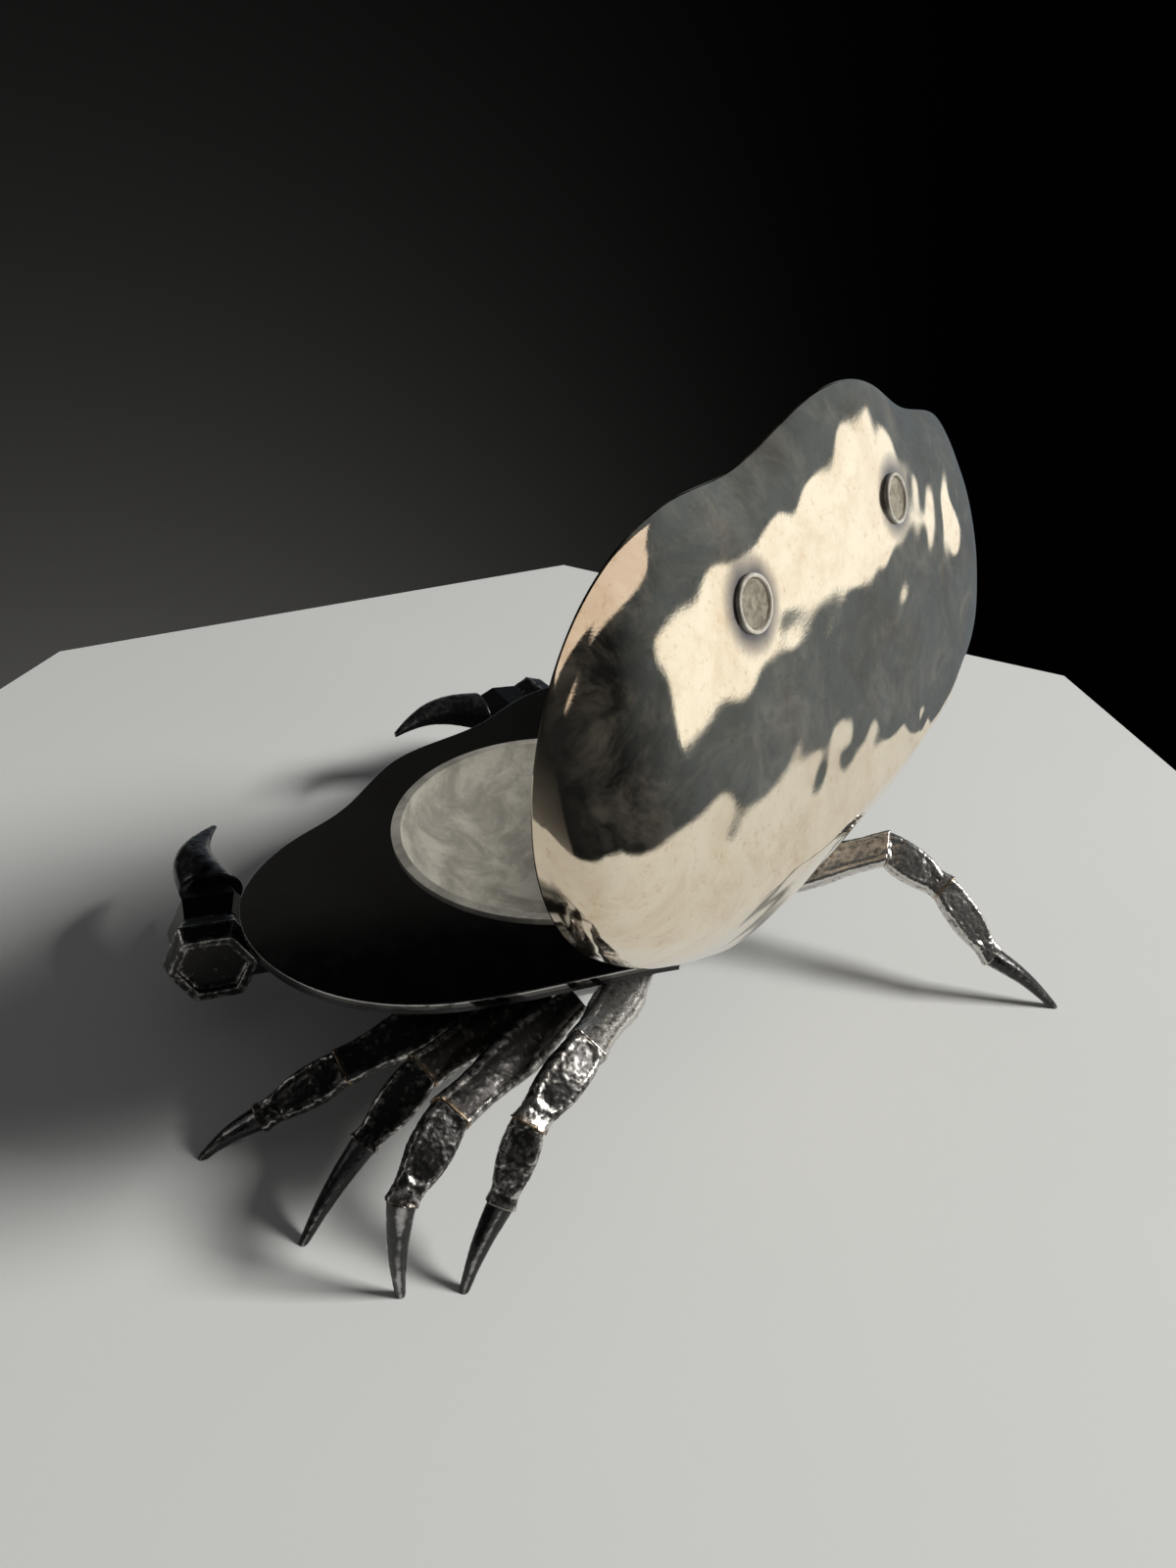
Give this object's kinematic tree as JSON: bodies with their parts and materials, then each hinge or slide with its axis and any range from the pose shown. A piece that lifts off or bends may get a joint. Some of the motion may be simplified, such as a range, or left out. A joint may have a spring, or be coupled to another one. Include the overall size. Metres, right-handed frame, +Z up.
{
  "type": "crab figurine",
  "caption": "Crab-shaped silver box: domed hammered lid hinged at the rear, flat deck with a round bowl, cast legs and folded claws.",
  "frame": {"origin": "on the table, under the middle of the object's bounding box, lid open", "axes": "+X toward the crab's left side, -Y toward its claws, +Z up"},
  "size_m": [0.2016, 0.1891, 0.1414],
  "materials": {
    "hammered_silver": "hammered polish",
    "polished_silver": "mirror polish",
    "matte_silver": "matte mottled",
    "worn_silver": "worn polish",
    "textured_silver": "fine granular",
    "oxidised_silver": "granular casting, oxidised, ridges worn bright",
    "smooth_oxidised_silver": "smooth dark polish"
  },
  "bodies": {
    "base": {"base_shell": "smooth_oxidised_silver", "deck_plate": "polished_silver", "bowl": "matte_silver", "base_knuckle_left": "worn_silver", "base_knuckle_right": "worn_silver", "hinge_pin": "worn_silver", "left_leg_1_thigh": "oxidised_silver", "left_leg_1_shin": "oxidised_silver", "left_leg_1_tip": "smooth_oxidised_silver", "left_leg_2_thigh": "oxidised_silver", "left_leg_2_shin": "oxidised_silver", "left_leg_2_tip": "smooth_oxidised_silver", "left_leg_3_thigh": "oxidised_silver", "left_leg_3_shin": "oxidised_silver", "left_leg_3_tip": "smooth_oxidised_silver", "right_leg_1_thigh": "oxidised_silver", "right_leg_1_shin": "oxidised_silver", "right_leg_1_tip": "smooth_oxidised_silver", "right_leg_2_thigh": "oxidised_silver", "right_leg_2_shin": "oxidised_silver", "right_leg_2_tip": "smooth_oxidised_silver", "right_leg_3_thigh": "oxidised_silver", "right_leg_3_shin": "oxidised_silver", "right_leg_3_tip": "smooth_oxidised_silver", "left_leg_4_thigh": "oxidised_silver", "left_leg_4_knee": "oxidised_silver", "left_leg_4_shin": "oxidised_silver", "left_leg_4_tip": "smooth_oxidised_silver", "right_leg_4_thigh": "oxidised_silver", "right_leg_4_knee": "oxidised_silver", "right_leg_4_shin": "oxidised_silver", "right_leg_4_tip": "smooth_oxidised_silver", "left_claw_arm": "oxidised_silver", "left_claw_wrist": "oxidised_silver", "left_claw_palm": "oxidised_silver", "left_claw_finger": "smooth_oxidised_silver", "right_claw_arm": "oxidised_silver", "right_claw_wrist": "oxidised_silver", "right_claw_palm": "oxidised_silver", "right_claw_finger": "smooth_oxidised_silver"},
    "lid": {"carapace": "hammered_silver", "lid_knuckle": "worn_silver", "eye_collar_left": "worn_silver", "eye_collar_right": "worn_silver", "eye_disc_left": "textured_silver", "eye_disc_right": "textured_silver"}
  },
  "joints": [
    {"name": "lid_hinge", "type": "hinge", "parent": "base", "child": "lid", "pos_m": [0, 0.03575, 0.035], "axis": [-1, 0, 0], "range_deg": [-91.1, 0]}
  ]
}
